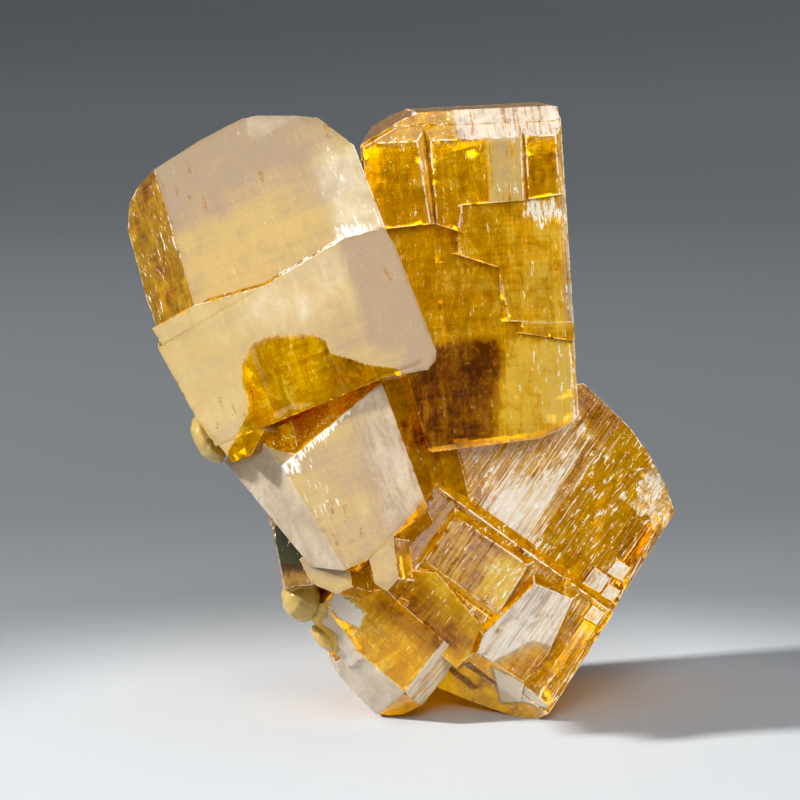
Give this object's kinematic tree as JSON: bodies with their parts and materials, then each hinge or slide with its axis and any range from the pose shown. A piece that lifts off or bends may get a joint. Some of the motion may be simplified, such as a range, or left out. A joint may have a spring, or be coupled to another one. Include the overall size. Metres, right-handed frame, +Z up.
{
  "type": "barite crystal cluster",
  "caption": "Free-standing cluster of blocky golden barite crystals with stepped flat faces, grown together into one solid that rests on a corner and a tip.",
  "frame": {"origin": "under the middle of the bounding box, on the floor that the cluster stands on", "axes": "+Z up, +X to the right as the picture sees it, +Y away from the camera"},
  "size_m": [0.0715, 0.0478, 0.0805],
  "materials": {
    "barite": "clear golden crystal with polished flat faces, cloudy inside"
  },
  "bodies": {
    "root": {"barite_cluster": "barite"}
  },
  "joints": []
}
